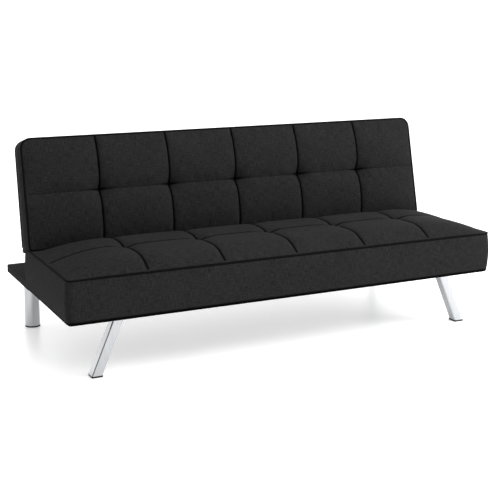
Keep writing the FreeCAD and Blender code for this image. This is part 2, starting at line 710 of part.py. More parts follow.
def capsule(name, start, end, half, low):
    """A straight bar with rounded ends in the Y-Z plane, as thick as a hinge plate."""
    across = (end - start).normalize().cross(FreeCAD.Vector(1, 0, 0)) * value(half)
    web = flat_plate(name + "_web", [(p.y, p.z) for p in (start + across, end + across, end - across, start - across)],
                     low, value("plate"))
    ends = [rod(f"{name}_end_{i}", half, "plate", str(low), str(spot.y), str(spot.z), "x")
            for i, spot in enumerate((start, end))]
    return fuse(name, [web] + ends)


def hinges():
    pivot = FreeCAD.Vector(0, value("pivot_y"), value("pivot_z"))
    pin_at, tip_at, foot_at = pawl_points()
    washers, pawl_pins = [], []
    for side, sign in SIDES.items():
        # fixed plate on the seat's side rail
        low = x_low(sign, "inner_half - plate", "inner_half")
        end, foot, nose = value("hub + plate_long"), value("frame_top - plate_drop"), value("plate_nose")
        corners = [(pivot.y - end, foot), (pivot.y - value("plate_foot"), foot), (pivot.y + nose, pivot.z - nose),
                   (pivot.y + nose, pivot.z + nose), (pivot.y - nose, pivot.z + nose + value("washer")),
                   (pivot.y - end, pivot.z + pin_at.z + nose)]
        blank = flat_plate(f"plate_blank_{side}", corners, low, value("plate"))
        start = "slot_in + plate - head" if sign > 0 else "-(inner_half)"
        span = "inner_half - slot_in - plate + head"
        pin = rod(f"pin_shank_{side}", "pin", span, start, "pivot_y", "pivot_z", "x")
        head = rod(f"pin_head_{side}", "pin + pin_head", "head",
                   "slot_in + plate - head" if sign > 0 else "-(slot_in + plate)", "pivot_y", "pivot_z", "x")
        pawl_pin = rod(f"pawl_pin_shank_{side}", "pawl_pin", span, start, f"pivot_y + {pin_at.y}",
                       f"pivot_z + {pin_at.z}", "x")
        pawl_head = rod(f"pawl_pin_head_{side}", "pawl_pin + pin_head - 1", "head",
                        "slot_in + plate - head" if sign > 0 else "-(slot_in + plate)",
                        f"pivot_y + {pin_at.y}", f"pivot_z + {pin_at.z}", "x")
        screws = DOC.getObject("hinge_plate_screws_group")
        keep(f"hinge_plate_{side}", cut(f"plate_cut_{side}", blank, [pin, pawl_pin, screws]))
        keep(f"hinge_pin_{side}", fuse(f"pin_whole_{side}", [pin, head]))
        pawl_pins.append(fuse(f"pawl_pin_whole_{side}", [pawl_pin, pawl_head]))
        for y, z, bore in (("pivot_y", "pivot_z", "pin"),
                           (f"pivot_y + {pin_at.y}", f"pivot_z + {pin_at.z}", "pawl_pin")):
            for name, at in {"outer": "inner_half - plate - washer", "inner": "slot_in + plate"}.items():
                where = at if sign > 0 else f"-({at}) - washer"
                key = f"{name}_{side}_{len(washers)}"
                disc = rod(f"washer_disc_{key}", "washer_radius", "washer", where, y, z, "x")
                hole = rod(f"washer_hole_{key}", bore, "washer", where, y, z, "x")
                washers.append(cut(f"washer_{key}", disc, [hole]))
        # pawl
        arm_low = x_low(sign, "arm_in", "arm_out")
        eye = rod(f"pawl_eye_{side}", "pawl_pin + pawl_eye", "plate", str(arm_low), f"pivot_y + {pin_at.y}",
                  f"pivot_z + {pin_at.z}", "x")
        lever = capsule(f"pawl_lever_{side}", pivot + pin_at, pivot + foot_at, "pawl_half", arm_low)
        tooth = capsule(f"pawl_tooth_{side}", pivot + foot_at, pivot + tip_at, "tooth_nose", arm_low)
        bore = rod(f"pawl_bore_{side}", "pawl_pin + pin_play", "plate", str(arm_low), f"pivot_y + {pin_at.y}",
                   f"pivot_z + {pin_at.z}", "x")
        keep(f"pawl_{side}", cut(f"pawl_cut_{side}", fuse(f"pawl_whole_{side}", [eye, lever, tooth]), [bore]))
    keep("hinge_washers", group("washers", washers))
    keep("pawl_pins", group("pawl_pins_group", pawl_pins))


def hinge_arms(screws):
    """Arms of the back: a notched hub round the pivot and a blade screwed to the back's side rail."""
    setback, drop = value("setback"), -value("shift / 2")
    tilt = value("tilt")
    for side, sign in SIDES.items():
        low = x_low(sign, "arm_in", "arm_out")
        hub = rod(f"hub_{side}", "hub", "plate", str(low), "setback", "-shift / 2", "x")
        rim = value("back_rim")
        inset = value("back_inset")
        root, high = value("hub") * 2 / 3, rim + value("blade_high")
        edge = inset + value("blade_in")
        far = edge + value("blade_wide")
        corners = [(setback - root, drop), (setback - root, rim - 8), (edge, rim + value("blade_start")), (edge, high),
                   (far, high), (far, rim), (setback + value("hub") - 2, drop + 6)]
        blade = flat_plate(f"blade_{side}", corners, low, value("plate"))
        bore = rod(f"arm_bore_{side}", "pin + pin_play", "plate", str(low), "setback", "-shift / 2", "x")
        whole = fuse(f"arm_whole_{side}", [hub, blade])
        notches = []
        for i, angle in enumerate(notch_angles()):
            spot = FreeCAD.Rotation(FreeCAD.Vector(1, 0, 0), angle + tilt).multVec(
                FreeCAD.Vector(0, value("hub - tooth + tooth_nose"), 0))
            notches.append(rod(f"notch_{side}_{i}", "tooth_nose + tooth_play", "plate", str(low), f"setback + {spot.y}",
                               f"-shift / 2 + {spot.z}", "x"))
        keep(f"hinge_arm_{side}", cut(f"arm_cut_{side}", whole, [bore] + screws + notches), on_back=True)


def check_and_write():
    DOC.recompute()
    bad = [thing.Name for thing in DOC.Objects if {"Invalid", "Error"} & set(thing.State)]
    if bad:
        raise RuntimeError(f"these objects failed: {bad}")
    os.makedirs("parts", exist_ok=True)
    for thing in PARTS:
        if thing.Shape.isNull() or not thing.Shape.isValid() or not thing.Shape.Solids:
            raise RuntimeError(f"{thing.Label} is not a sound solid")
        thing.Shape.exportStep(f"parts/{thing.Label}.step")


write_sheet()
upholstery()
base_frame()
legs()
seat_frame()
springs()
back_frame()
hinges()
check_and_write()
print(len(PARTS), "sub-parts")
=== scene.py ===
"""Armless click-clack sofa bed: tufted seat and back cushions, wrapped shelf, piping and finishes."""

import json
import math

import bmesh
import bpy
from mathutils import Matrix, Vector


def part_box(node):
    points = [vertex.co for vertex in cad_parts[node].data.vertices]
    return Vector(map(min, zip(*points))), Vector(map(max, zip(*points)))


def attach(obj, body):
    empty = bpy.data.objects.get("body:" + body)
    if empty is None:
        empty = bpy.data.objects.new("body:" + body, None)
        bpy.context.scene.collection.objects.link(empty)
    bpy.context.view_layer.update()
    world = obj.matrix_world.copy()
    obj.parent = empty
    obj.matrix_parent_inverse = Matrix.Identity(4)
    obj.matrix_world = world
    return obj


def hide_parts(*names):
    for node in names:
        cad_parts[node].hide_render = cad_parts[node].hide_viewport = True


bl_info = {
    "name": "Click-clack sofa bed",
    "version": (1, 0, 0),
    "blender": (4, 5, 0),
    "location": "View3D > Sidebar > Sofa",
    "description": "Upholsters and finishes a three-seat click-clack sofa bed around its frame",
    "category": "Object",
}

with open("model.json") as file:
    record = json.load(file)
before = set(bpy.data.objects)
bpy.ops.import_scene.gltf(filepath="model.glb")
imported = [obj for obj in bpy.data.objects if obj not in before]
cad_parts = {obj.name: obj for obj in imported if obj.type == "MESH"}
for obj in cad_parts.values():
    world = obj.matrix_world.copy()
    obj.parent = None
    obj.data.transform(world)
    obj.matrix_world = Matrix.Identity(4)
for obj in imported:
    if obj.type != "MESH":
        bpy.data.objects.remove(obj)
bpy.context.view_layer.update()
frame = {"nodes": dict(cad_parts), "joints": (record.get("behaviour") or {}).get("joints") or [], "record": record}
MM = 0.001
UP = Vector((0, 0, 1))

RECLINE = next(j for j in frame["joints"] if j["name"] == "back_recline")
TILT = math.radians(90 - RECLINE["range_deg"][1])
BACK_TAPER = 2.5        # degrees
UNDER_LIFT = 1.8 * MM   # the seat's cover above its frame, under the back
FAR_SLACK = 4 * MM      # most that the rear of the back may swell
CLOTH_FRAMES = 20
CORD_OUT = 0.6 * MM     # a cord's middle line, outside its cushion's edge
BACK_UP = Vector((0, math.sin(TILT), math.cos(TILT)))
BACK_OUT = Vector((0, -math.cos(TILT), math.sin(TILT)))


# ---------------------------------------------------------------- settings

def length(name, description, millimetres):
    return bpy.props.FloatProperty(name=name, description=description, default=millimetres * MM, unit="LENGTH")


class SofaSizes(bpy.types.PropertyGroup):
    columns: bpy.props.IntProperty(name="Columns", description="Tufted panels across each cushion", default=6)
    grid: length("Cloth grid", "Spacing of the cloth mesh", 9)
    seam_width: length("Seam width", "Half width of a sewn seam", 4)
    seam_depth: length("Seam depth", "How far a seam is pulled in", 4.5)
    seam_reach: length("Seam reach", "How far beside a seam the cloth is pulled in", 9)
    tuft_reach: length("Tuft reach", "How far round a tuft the cloth is pulled in", 17)
    tuft_hold: length("Tuft hold", "How far round a tuft the cloth stays taut", 45)
    seat_crown: length("Seat crown", "How far the seat rises above its piping", 45)
    seat_tuft: length("Seat tufts", "Depth of the seat's tufts", 16)
    back_crown: length("Back crown", "How far the back stands out from its piping", 22)
    back_tuft: length("Back tufts", "Depth of the back's tufts", 30)
    rise: length("Rise", "Distance from the front piping to the full crown", 120)
    side_rise: length("Side rise", "Distance from the side piping to the full crown", 245)
    bulge: length("Bulge", "How far the borders stand out between top and bottom", 5)
    puff: length("Puff", "How far each panel swells between its seams", 5)
    slack: length("Slack", "Most that the back's pressed cloth may move", 5)
    overhang: length("Overhang", "How far the seat's ends stand out past its frame's cover", 6)
    rear_draw: length("Rear draw", "How far the seat's rear corners are drawn in at the foot", 14)
    back_sag: length("Back sag", "How far the foot of the back hangs down behind", 11)
    seat_cord: length("Seat piping", "Radius of the seat's covered cord", 2)
    back_cord: length("Back piping", "Radius of the back's covered cords", 3.4)
    thread: length("Thread spacing", "Distance between threads of the weave", 1.6)


def linear(code):
    """An sRGB hex colour as linear RGBA."""
    parts = [int(code[i:i + 2], 16) / 255 for i in (1, 3, 5)]
    return tuple(c / 12.92 if c <= 0.04045 else ((c + 0.055) / 1.055) ** 2.4 for c in parts) + (1.0,)


def colour(name, description, code):
    return bpy.props.FloatVectorProperty(name=name, description=description, subtype="COLOR", size=4, min=0, max=1,
                                         default=linear(code))


class SofaColours(bpy.types.PropertyGroup):
    weave_dark: colour("Dark thread", "Shadowed thread of the cover", "#0f0f0f")
    weave_light: colour("Light thread", "Raised thread of the cover", "#2a2a2b")
    # near black, darker than the cloth that covers the cord: painted shade of the seams beside it
    cord: colour("Piping", "Covered cord round the cushions", "#030303")


# ---------------------------------------------------------------- small helpers

def sizes():
    return bpy.context.scene.sofa_sizes


def colours():
    return bpy.context.scene.sofa_colours


def finish_mesh(name, mesh_data, smooth=True):
    """A new object at the origin that holds a bmesh."""
    mesh = bpy.data.meshes.new(name)
    mesh_data.to_mesh(mesh)
    mesh_data.free()
    mesh.polygons.foreach_set("use_smooth", [smooth] * len(mesh.polygons))
    piece = bpy.data.objects.new(name, mesh)
    bpy.context.scene.collection.objects.link(piece)
    return piece


def activate(piece):
    bpy.ops.object.select_all(action="DESELECT")
    piece.select_set(True)
    bpy.context.view_layer.objects.active = piece


def apply(piece, kind, **settings):
    """Adds one modifier and applies it."""
    activate(piece)
    modifier = piece.modifiers.new(kind.title(), kind)
    for key, setting in settings.items():
        setattr(modifier, key, setting)
    bpy.ops.object.modifier_apply(modifier=modifier.name)


def ruled(start, end, step, seams, near):
    """Grid lines from start to end, with a close pair of lines beside each seam and each end."""
    marks = [start, *seams, end]
    out = []
    for a, b in zip(marks, marks[1:]):
        count = max(1, round((b - a - 2 * near) / step))
        out.append(a)
        out += [a + near + (b - a - 2 * near) * i / count for i in range(count + 1)]
    return out + [end]


# ---------------------------------------------------------------- cushions

class Pad:
    """A tufted cushion in its own axes: u across, v along its face, w out of its face, from the piping's plane."""

    def __init__(self, name, origin, along, out, half, profile, *, depth, corner, tuck, columns, rows, held_lines,
                 crown, tuft, rear_corner=0, lip=0):
        self.name = name
        self.matrix = Matrix((Vector((1, 0, 0)), along, out)).transposed().to_4x4()
        self.matrix.translation = origin
        self.half, self.profile, self.depth = half, profile, depth
        self.corner, self.rear_corner, self.tuck = corner, rear_corner, tuck
        self.columns, self.rows, self.held_lines = columns, rows, held_lines
        self.length = profile[-1][0]
        self.face_end = (held_lines or [self.length])[0]
        self.crown, self.tuft, self.lip = crown, tuft, lip
        self.sag = self.rear_in = 0.0
        # amounts of painted shade in the rows' seams and just below the cord
        self.row_dark, self.rim_painted_shade = 0.85, 0.35
        self.blown = False

    def face_point(self, run):
        """(v, w) at a distance along the face's profile."""
        for (a, va, wa), (b, vb, wb) in zip(self.profile, self.profile[1:]):
            if run <= b:
                t = (run - a) / (b - a)
                return va + (vb - va) * t, wa + (wb - wa) * t
        return self.profile[-1][1:]

    def plan(self, u, v):
        """Rounds the corners of the plan; also gives the outward direction in the plan."""
        end = self.profile[-1][1]
        for radius, gap, sign in ((self.corner, v, -1), (self.rear_corner, end - v, 1)):
            du, dv = abs(u) - (self.half - radius), radius - gap
            if radius and du > 0 and dv > 0:
                long, far = math.hypot(du, dv), max(du, dv)
                turn = math.copysign(1, u)
                return (turn * (self.half - radius + du * far / long),
                        (radius - dv * far / long) if sign < 0 else end - radius + dv * far / long,
                        Vector((turn * du / long, sign * dv / long)))
        side = abs(u) > self.half - 1e-6
        return u, v, Vector((math.copysign(1, u), 0)) if side else Vector((0, -1 if v < end / 2 else 1))

    def rear_end(self, u, v):
        """One at the rear corners, where the wall is drawn forward, and none where a rail stands behind it."""
        across = max(0, 1 - (self.half - abs(u)) / (20 * MM))
        return across * max(0, 1 - (self.profile[-1][1] - v) / (60 * MM))

    def swell(self, u, run):
        """Height of the stuffing under a point of the face, above the plane of the piping."""
        s = sizes()
        height = self.crown
        for away, rise in ((self.half - abs(u), s.side_rise), (run, s.rise), (self.face_end - run, s.rise)):
            height *= 1 - max(0, 1 - max(0, away) / rise) ** 2.2
        return height

    def pull(self, u, run):
        """How far the seams and tufts draw the face in at a point."""
        s = sizes()
        edge = max(0, min(self.half - abs(u), run, self.face_end - run))
        column = min(abs(u - c) for c in self.columns)
        row = min(abs(run - r) for r in self.rows)
        seam = max(math.exp(-column / s.seam_reach), 0.75 * math.exp(-row / s.seam_reach))
        depth = s.seam_depth * seam * min(1, edge / (30 * MM))
        tuft = math.hypot(column, row)
        pinch, bowl = math.exp(-tuft / s.tuft_reach), math.exp(-((tuft / (2 * s.tuft_reach)) ** 2))
        depth += self.tuft * (0.55 * pinch + 0.45 * bowl)
        return depth * min(1, edge / (20 * MM))

    def build(self):
        """The closed mesh: a ruled face, walls down to the far side, and a far side."""
        s = sizes()
        us = ruled(-self.half, self.half, s.grid, self.columns, s.seam_width)
        runs = ruled(0, self.length, s.grid, sorted(self.rows + self.held_lines), s.seam_width)
        seam_u = [any(abs(u - c) < 1e-6 for c in self.columns) for u in us]
        seam_run = [any(abs(r - c) < 1e-6 for c in self.rows) for r in runs]
        bm = bmesh.new()
        uv_layer = bm.loops.layers.uv.new("Cloth")
        # how much painted shade each point gets: in the seams, by the cord and at the foot of the walls
        painted_crease_shade = bm.verts.layers.float.new("painted_crease_shade")
        self.held, self.limit = [], []

        def vertex(u, v, w, held, limit, shade=0.0):
            corner = bm.verts.new(self.matrix @ Vector((u, v, w)))
            corner[painted_crease_shade] = shade
            self.held.append(held)
            self.limit.append(limit)
            return corner

        def face(corners, places):
            made = bm.faces.new(corners)
            for loop, place in zip(made.loops, places):
                loop[uv_layer].uv = place

        def quads(grid, places):
            for a, b, pa, pb in zip(grid, grid[1:], places, places[1:]):
                for i in range(len(a) - 1):
                    face((a[i], a[i + 1], b[i + 1], b[i]), (pa[i], pa[i + 1], pb[i + 1], pb[i]))

        top, top_places, rim = [], [], {}
        for j, run in enumerate(runs):
            row = []
            for i, u in enumerate(us):
                v, w = self.face_point(run)
                pu, pv, normal = self.plan(u, v)
                edge = i in (0, len(us) - 1) or j in (0, len(runs) - 1)
                sewn = (seam_u[i] or seam_run[j]) and not edge and run < self.face_end
                if not edge:
                    w += self.swell(u, run) + self.puff(u, run) - self.pull(u, run)
                row.append(vertex(pu, pv, w, edge or sewn, self.give(u, run), self.shade(u, run)))
                rim[i, j] = (pu, pv, w, normal)
            top.append(row)
            top_places.append([(u, run) for u in us])
        quads(top, top_places)

        last_u, last_run = len(us) - 1, len(runs) - 1
        ring = ([(i, 0) for i in range(last_u)] + [(last_u, j) for j in range(last_run)]
                + [(i, last_run) for i in range(last_u, 0, -1)] + [(0, j) for j in range(last_run, 0, -1)])
        levels = max(3, round((self.depth(0) - self.tuck) / s.grid))
        near = s.seam_width * 1.2 / self.depth(0)
        drops = ([(near, 0, 0)] + [(k / levels, 0, 0) for k in range(1, levels + 1)]
                 + [(1, math.radians(a), 0) for a in (30, 60, 90)])
        if self.lip:
            drops += [(1, math.pi / 2, self.lip / 2), (1, math.pi / 2, self.lip)]
        around = [0.0]
        for a, b in zip(ring, ring[1:] + ring[:1]):
            around.append(around[-1] + math.dist(rim[a][:2], rim[b][:2]))
        above = [top[j][i] for i, j in ring]
        above_place = [rim[key][2] for key in ring]
        for part, bend, lift in drops:
            below, below_place = [], []
            for i, j in ring:
                pu, pv, w, normal = rim[i, j]
                floor = -self.depth(pv)
                rear = self.lip and normal.y > 0.5
                stop = floor + self.lip if rear else floor
                tuck = 0 if rear else self.tuck
                low = w + (stop + tuck - w) * part - tuck * math.sin(bend) + (0 if rear else lift)
                inward = tuck * (1 - math.cos(bend)) + (1 * MM if lift and not rear else 0)
                bulge = self.wall_limit(pv, part) if not bend else 0.5 * MM
                inward -= 0.6 * bulge if not bend else 0
                inward -= self.sag * part * max(0, -normal.y)
                # the last argument is painted shade: most along the foot of the wall, some just below the cord
                below.append(vertex(pu - normal.x * inward,
                                    pv - normal.y * inward - self.rear_in * part * self.rear_end(pu, pv), low,
                                    bend > math.radians(45), bulge,
                                    0.9 if part == 1 else self.rim_painted_shade if part == near else 0.0))
                below_place.append(low - self.tuck * bend)
            for k in range(len(ring)):
                n = (k + 1) % len(ring)
                face((above[k], below[k], below[n], above[n]),
                     ((around[k], above_place[k]), (around[k], below_place[k]),
                      (around[k + 1], below_place[n]), (around[k + 1], above_place[n])))
            above, above_place = below, below_place
        self.far_side(above, ring, us, runs, vertex, face)
        self.ring = ring
        self.rim = rim
        bm.verts.index_update()
        self.piece = finish_mesh(self.name, bm)
        return self.piece

    def far_side(self, edge, ring, us, runs, vertex, face):
        """Closes the side away from the face with a grid."""
        at = dict(zip(ring, edge))
        end = self.profile[-1][1]
        shrink_u, shrink_v = (self.half - self.tuck) / self.half, (end / 2 - self.tuck) / (end / 2)
        grid = []
        for j, run in enumerate(runs):
            row = []
            for i, u in enumerate(us):
                if (i, j) in at:
                    row.append(at[i, j])
                    continue
                v = self.face_point(run)[0]
                pu, pv, _ = self.plan(u, v)
                pv = end / 2 + (pv - end / 2) * shrink_v
                row.append(vertex(pu * shrink_u, pv, self.lip - self.depth(pv), False, FAR_SLACK))
            grid.append(row)
        for j in range(len(runs) - 1):
            for i in range(len(us) - 1):
                face((grid[j][i], grid[j + 1][i], grid[j + 1][i + 1], grid[j][i + 1]),
                     ((us[i], runs[j]), (us[i], runs[j + 1]), (us[i + 1], runs[j + 1]), (us[i + 1], runs[j])))

    def panel(self, u, run):
        """Where a point lies in its own panel, each way from 0 to 1, and the panel's distance to a seam."""
        places = []
        for at, marks in ((u, [-self.half, *self.columns, self.half]),
                          (run, [0, *sorted(self.rows + self.held_lines), self.length])):
            a, b = next(((a, b) for a, b in zip(marks, marks[1:]) if at <= b + 1e-9), marks[-2:])
            places.append((min(1, max(0, (at - a) / (b - a))), b - a))
        return places

    def puff(self, u, run):
        """Swelling of a panel between its seams."""
        (a, _), (b, _) = self.panel(u, run)
        return sizes().puff * (16 * a * (1 - a) * b * (1 - b)) ** 0.4 if run < self.face_end else 0

    def shade(self, u, run):
        """How much painted shade a fold gets: columns are drawn tight, rows mostly beside their tufts, and the rim
        beside its cord.
        """
        reach = sizes().seam_width
        column = min(abs(u - c) for c in self.columns)
        row = min(abs(run - r) for r in self.rows)
        if run > self.face_end:
            return 0.0
        rim = min(self.half - abs(u), run)
        if rim < 1.1 * reach:
            return 1.0 if rim < 0.1 * reach else 0.1
        dark = 1.0 if column < 0.1 * reach else 0.35 if column < 1.1 * reach else 0.0
        if row < 1.1 * reach:
            near = self.row_dark + (1 - self.row_dark) * math.exp(-column / (30 * MM))
            dark = max(dark, near if row < 0.1 * reach else 0.5 * near)
        return dark

    def give(self, u, run):
        """How far the pressed cloth may move: least beside a tuft."""
        tuft = math.hypot(min(abs(u - c) for c in self.columns), min(abs(run - r) for r in self.rows))
        return sizes().slack * (1.05 - math.exp(-((tuft / sizes().tuft_hold) ** 2)))

    def simulate(self):
        """Blows the cover up between its seams as cloth, and keeps each point within its limit."""
        piece = self.piece
        group = piece.vertex_groups.new(name="held")
        group.add([i for i, held in enumerate(self.held) if held], 1.0, "REPLACE")
        activate(piece)
        cloth = piece.modifiers.new("Cloth", "CLOTH")
        rules = cloth.settings
        rules.quality = 6
        rules.mass = 0.25
        rules.tension_stiffness = rules.compression_stiffness = 20
        rules.shear_stiffness = 6
        rules.bending_stiffness = 0.3
        rules.shrink_min = -0.012
        rules.use_pressure = True
        rules.uniform_pressure_force = 4
        rules.effector_weights.gravity = 0
        rules.vertex_group_mass = group.name
        cloth.collision_settings.use_collision = False
        cloth.point_cache.frame_start, cloth.point_cache.frame_end = 1, CLOTH_FRAMES
        scene = bpy.context.scene
        for number in range(1, CLOTH_FRAMES + 1):
            scene.frame_set(number)
        blown = piece.evaluated_get(bpy.context.evaluated_depsgraph_get()).data
        moved = [v.co.copy() for v in blown.vertices]
        piece.modifiers.remove(cloth)
        scene.frame_set(1)
        for vertex, new, limit in zip(piece.data.vertices, moved, self.limit):
            step = new - vertex.co
            far = step.length
            if far > 1e-7:
                vertex.co += step * (limit * math.tanh(far / limit) / far)
        piece.vertex_groups.remove(group)


def make_piping(name, spots, radius, closed, body):
    """A cord covered in the cushion's own cloth, sewn along a row of points."""
    curve = bpy.data.curves.new(name, "CURVE")
    curve.dimensions = "3D"
    curve.bevel_depth = radius
    curve.bevel_resolution = 3
    curve.use_fill_caps = not closed
    spline = curve.splines.new("POLY")
    spline.points.add(len(spots) - 1)
    for point, spot in zip(spline.points, spots):
        point.co = (*spot, 1)
    spline.use_cyclic_u = closed
    cord = bpy.data.objects.new(name, curve)
    bpy.context.scene.collection.objects.link(cord)
    activate(cord)
    bpy.ops.object.convert(target="MESH")
    cord = bpy.context.object
    bpy.ops.object.shade_smooth()
    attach(cord, body)
    use(cord, bpy.data.materials["covered cord"])
    return cord


def rim_spots(pad, first, last, out, rear=False):
    """The rim of the face, or of the rear, as places a little outside the cushion's edge, from one stop of its ring
    to another."""
    spots = []
    for key in pad.ring[first:last]:
        pu, pv, w, normal = pad.rim[key]
        if rear:
            w = -pad.depth(pv) + 1.5 * MM
            pv += normal.y * pad.sag * max(0, -normal.y)
        spot = pad.matrix @ Vector((pu + normal.x * out, pv + normal.y * out, w))
        if not spots or (spot - spots[-1]).length > 2 * MM:
            spots.append(spot)
    return spots


def make_pad(pad, body, *nodes):
    piece = pad.build()
    if pad.blown:
        pad.simulate()
    apply(piece, "SUBSURF", levels=1, render_levels=1)
    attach(piece, body)
    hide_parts(*nodes)
    return piece


def leaned_box(node):
    """Lowest and highest corner of one of the back's nodes in the back's own axes: across, up and out."""
    axes = Matrix(((1, 0, 0), BACK_UP, BACK_OUT))
    spots = [axes @ v.co for v in frame["nodes"][node].data.vertices]
    return (Vector(min(p[i] for p in spots) for i in range(3)), Vector(max(p[i] for p in spots) for i in range(3)))


def panel_seams(half):
    """Where the seams stand that part a cushion into equal panels."""
    return [-half + 2 * half * i / sizes().columns for i in range(1, sizes().columns)]


def back_front():
    """Where the back's lower front edge stands, along the sofa's depth."""
    low = leaned_box("back_cover")[0]
    cord_low, cord_high = leaned_box("back_piping")
    return (BACK_UP * low.y + BACK_OUT * ((cord_low.z + cord_high.z) / 2)).y


def seat_pad():
    """The seat. Its face slopes down under the back, then turns round the hinge's axis to its rear wall. It isn't
    blown up as cloth: its shape is all from its swell, puff and pull."""
    low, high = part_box("seat_cover")
    cord_low, cord_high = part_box("seat_piping")
    seam = (cord_low.z + cord_high.z) / 2
    pivot = Vector(RECLINE["pos_m"])
    end = high.y
    radius = end - pivot.y
    touch_y, touch_z = pivot.y + radius * math.sin(TILT), pivot.z + radius * math.cos(TILT)
    slope_start = touch_y - 60 * MM
    under_back = [(slope_start, min(seam - 1 * MM, touch_z + (touch_y - slope_start) * math.tan(TILT)))]
    for step in range(9):
        angle = TILT + (math.pi / 2 - TILT) * step / 8
        under_back.append((pivot.y + radius * math.sin(angle), pivot.z + radius * math.cos(angle)))
    face = [(low.y, seam)] + [(y, z + UNDER_LIFT) for y, z in under_back]
    profile, run = [], 0.0
    for i, (y, z) in enumerate(face):
        if i:
            run += math.dist(face[i - 1], (y, z))
        profile.append((run, y - low.y, z - seam))
    half = high.x + sizes().overhang
    pad = Pad("seat_cushion", Vector((0, low.y, seam)), Vector((0, 1, 0)), UP, half, profile,
              depth=lambda v: seam - low.z, corner=18 * MM, tuck=9 * MM, columns=panel_seams(half),
              rows=[(back_front() - low.y) / 2], held_lines=[profile[1][0]], crown=sizes().seat_crown,
              tuft=sizes().seat_tuft, lip=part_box("shelf_board")[1].z + 2.4 * MM - low.z)
    pad.rear_in = sizes().rear_draw
    pad.wall_limit = lambda v, part: (0.5 * MM if v > end - low.y - 5 * MM else
                                      (0.4 * MM + 2 * sizes().bulge * math.sin(math.pi * part)))
    return pad


def back_pad():
    """The back, thinner towards its top. The foot of its face stays flat, where it meets the seat."""
    low, high = leaned_box("back_cover")
    cord_low, cord_high = leaned_box("back_piping")
    face = (cord_low.z + cord_high.z) / 2
    tall = high.y - low.y
    thick = face - low.z
    half = high.x
    top_thick = thick - tall * math.tan(math.radians(BACK_TAPER))
    pad = Pad("back_cushion", BACK_UP * low.y + BACK_OUT * face, BACK_UP, BACK_OUT, half,
              [(0, 0, 0), (tall, tall, 0)], depth=lambda v: thick + (top_thick - thick) * v / tall,
              corner=10 * MM, rear_corner=36 * MM, tuck=3 * MM, columns=panel_seams(half), rows=[tall * 0.5],
              held_lines=[], crown=sizes().back_crown, tuft=sizes().back_tuft)
    pad.blown = True
    pad.sag, pad.row_dark, pad.rim_painted_shade = sizes().back_sag, 0.35, 0.75
    pad.wall_limit = lambda v, part: (0.8 if v < 10 * MM else 5) * MM * math.sin(math.pi * part) + 0.2 * MM
    return pad


# ---------------------------------------------------------------- materials

def add(tree, kind, settings=None, **links):
    """Adds a node, sets its properties and unlinked inputs, and links the named inputs."""
    node = tree.nodes.new(kind)
    for key, setting in (settings or {}).items():
        if isinstance(key, int) or key in node.inputs:
            node.inputs[key].default_value = setting
        else:
            setattr(node, key, setting)
    for key, socket in links.items():
        tree.links.new(socket, node.inputs[int(key[1:])] if key[0] == "i" and key[1:].isdigit() else node.inputs[key])
    return node


def material(name, **shader):
    """A material with a bare principled shader; returns it, its tree and the shader."""
    made = bpy.data.materials.new(name)
    made.use_nodes = True
    tree = made.node_tree
    bsdf = tree.nodes["Principled BSDF"]
    for key, setting in shader.items():
        bsdf.inputs[key.replace("_", " ")].default_value = setting
    return made, tree, bsdf


def place_nodes(tree, stretch, flat=False):
    """Coordinates, the object's or the flat cloth's, scaled along each axis, in patterns per metre."""
    if flat:
        place = add(tree, "ShaderNodeUVMap", {"uv_map": "Cloth"}).outputs["UV"]
    else:
        place = add(tree, "ShaderNodeTexCoord").outputs["Object"]
    return add(tree, "ShaderNodeMapping", {"Scale": stretch}, Vector=place).outputs[0]


def blend_colours(tree, share, first, second):
    """A colour between two, each a colour or an output."""
    mix = add(tree, "ShaderNodeMix", {"data_type": "RGBA"}, i0=share)
    for slot, value in ((6, first), (7, second)):
        if isinstance(value, bpy.types.NodeSocket):
            tree.links.new(value, mix.inputs[slot])
        else:
            mix.inputs[slot].default_value = value
    return mix.outputs[2]


def woven_polyester():
    """Plain-woven polyester with a linen look: uneven slub threads both ways, matt, with a faint sheen. The threads
    are about twice as coarse as real ones, so that they show."""
    made, tree, bsdf = material("woven polyester", Roughness=0.8)
    bsdf.inputs["Sheen Weight"].default_value = 0.015
    bsdf.inputs["Sheen Roughness"].default_value = 0.4
    bsdf.inputs["Specular IOR Level"].default_value = 0.02
    thread = 1 / sizes().thread
    slubs = [add(tree, "ShaderNodeTexNoise", {"Scale": 1.0, "Detail": 4.0, "Roughness": 0.65},
                 Vector=place_nodes(tree, (thread * x, thread * y, thread), flat=True)).outputs["Fac"]
             for x, y in ((1, 0.06), (0.06, 1))]
    both = add(tree, "ShaderNodeMath", {"operation": "ADD"}, i0=slubs[0], i1=slubs[1]).outputs[0]
    raised = add(tree, "ShaderNodeMapRange", {"From Min": 0.78, "From Max": 1.22}, Value=both).outputs[0]
    body = blend_colours(tree, raised, colours().weave_dark, colours().weave_light)
    # broad, faint shading where the pile of the yarn lies differently
    cloud = add(tree, "ShaderNodeTexNoise", {"Scale": 1.0, "Detail": 3.0},
                Vector=place_nodes(tree, (9, 9, 9))).outputs["Fac"]
    lighter = add(tree, "ShaderNodeMapRange", {"From Min": 0.3, "From Max": 0.7, "To Min": 0.0, "To Max": 0.22},
                  Value=cloud).outputs[0]
    body = blend_colours(tree, lighter, body, colours().weave_light)
    # painted shade: the cloth is drawn darkest in the bottom of a sewn fold, beside the cord and along the foot of a
    # wall
    painted_crease_shade = add(tree, "ShaderNodeAttribute", {"attribute_name": "painted_crease_shade"}).outputs["Fac"]
    fold = add(tree, "ShaderNodeMapRange", {"From Min": 0.2, "From Max": 0.65}, Value=painted_crease_shade).outputs[0]
    tree.links.new(blend_colours(tree, fold, body, linear("#010101")), bsdf.inputs["Base Color"])
    bump = add(tree, "ShaderNodeBump", {"Strength": 0.3, "Distance": 0.4 * MM}, Height=raised)
    tree.links.new(bump.outputs[0], bsdf.inputs["Normal"])
    return made


